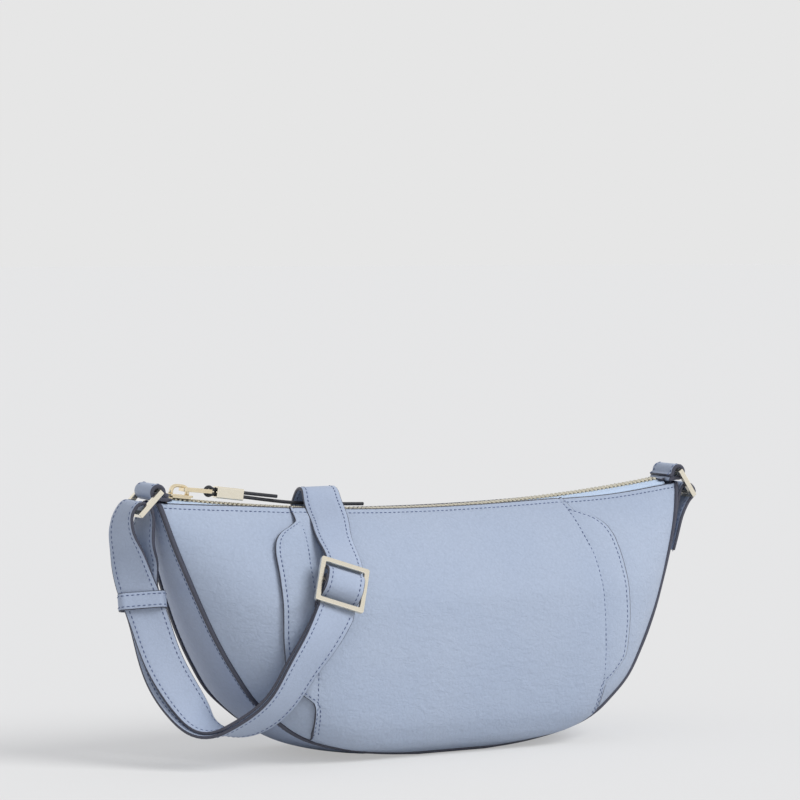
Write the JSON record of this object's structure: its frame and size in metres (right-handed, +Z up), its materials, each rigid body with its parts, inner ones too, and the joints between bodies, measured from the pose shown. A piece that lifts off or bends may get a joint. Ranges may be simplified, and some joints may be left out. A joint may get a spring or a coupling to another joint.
{
  "type": "belt bag",
  "caption": "Small curved leather bag on a belt-like strap, with a top zip, raised front panel, end rings and a sliding buckle.",
  "frame": {"origin": "centre of the flat patch of the base that the bag stands on, in the bag's middle plane", "axes": "+X along the bag's width to its right as seen from the front, +Y from the front panel to the back, +Z up"},
  "size_m": [0.3416, 0.127, 0.1431],
  "materials": {
    "blue_leather": "grained, satin",
    "edge_paint": "painted edge, satin",
    "board": "bonded fibre board, matt",
    "lining_cloth": "woven twill, matt",
    "tape_cloth": "woven tape, matt",
    "chain_metal": "pale nickel-gold plated",
    "pale_gold": "polished pale gold plated",
    "black_lace": "smooth black, satin"
  },
  "bodies": {
    "bag": {"front_centre_panel": "blue_leather", "front_side_panel_left": "blue_leather", "front_side_panel_right": "blue_leather", "back_panel": "blue_leather", "gusset": "blue_leather", "front_seam_edge": "edge_paint", "back_seam_edge": "edge_paint", "front_stiffener": "board", "back_stiffener": "board", "lining": "lining_cloth", "zip_tape_front": "tape_cloth", "zip_tape_back": "tape_cloth", "zip_teeth_front": "chain_metal", "zip_teeth_back": "chain_metal", "zip_end_patch_left": "blue_leather", "zip_end_patch_right": "blue_leather", "tab_left": "blue_leather", "tab_right": "blue_leather", "strap": "blue_leather"},
    "slider": {"zip_slider": "pale_gold"},
    "puller": {"zip_puller": "pale_gold"},
    "lace": {"pull_lace_loop": "black_lace", "pull_barrel": "pale_gold", "lace_tail_upper": "black_lace", "lace_tail_lower": "black_lace"},
    "ring_left": {"ring_left": "pale_gold"},
    "ring_right": {"ring_right": "pale_gold"},
    "keeper": {"strap_keeper": "blue_leather"},
    "buckle": {"buckle": "pale_gold"}
  },
  "joints": [
    {"name": "zip_travel", "type": "hinge", "parent": "bag", "child": "slider", "pos_m": [0, 0, 1.1959], "axis": [0, -1, 0], "range_deg": [0, 13.1], "deforming": ["zip_teeth_front", "zip_teeth_back", "lace_tail_upper", "lace_tail_lower"]},
    {"name": "puller_lift", "type": "hinge", "parent": "slider", "child": "puller", "pos_m": [-0.13751, 0, 0.13938], "axis": [0, -1, 0], "range_deg": [0, 95], "deforming": ["lace_tail_upper", "lace_tail_lower"]},
    {"name": "lace_swing", "type": "hinge", "parent": "puller", "child": "lace", "pos_m": [-0.12309, 0, 0.13783], "axis": [0, -1, 0], "range_deg": [0, 60], "deforming": ["lace_tail_upper", "lace_tail_lower"]},
    {"name": "left_ring_swing", "type": "hinge", "parent": "bag", "child": "ring_left", "pos_m": [-0.1556, 0, 0.1388], "axis": [0, -1, 0], "range_deg": [-3, 20]},
    {"name": "right_ring_swing", "type": "hinge", "parent": "bag", "child": "ring_right", "pos_m": [0.1556, 0, 0.1388], "axis": [0, 1, 0], "range_deg": [0, 18]},
    {"name": "buckle_rock", "type": "hinge", "parent": "bag", "child": "buckle", "pos_m": [-0.07409, -0.05188, 0.09247], "axis": [0.9341, -0.1587, -0.3198], "range_deg": [-2, 1.5]},
    {"name": "keeper_slide", "type": "slide", "parent": "bag", "child": "keeper", "axis": [0.2882, -0.2361, -0.928], "range_m": [-0.002, 0.004]}
  ]
}
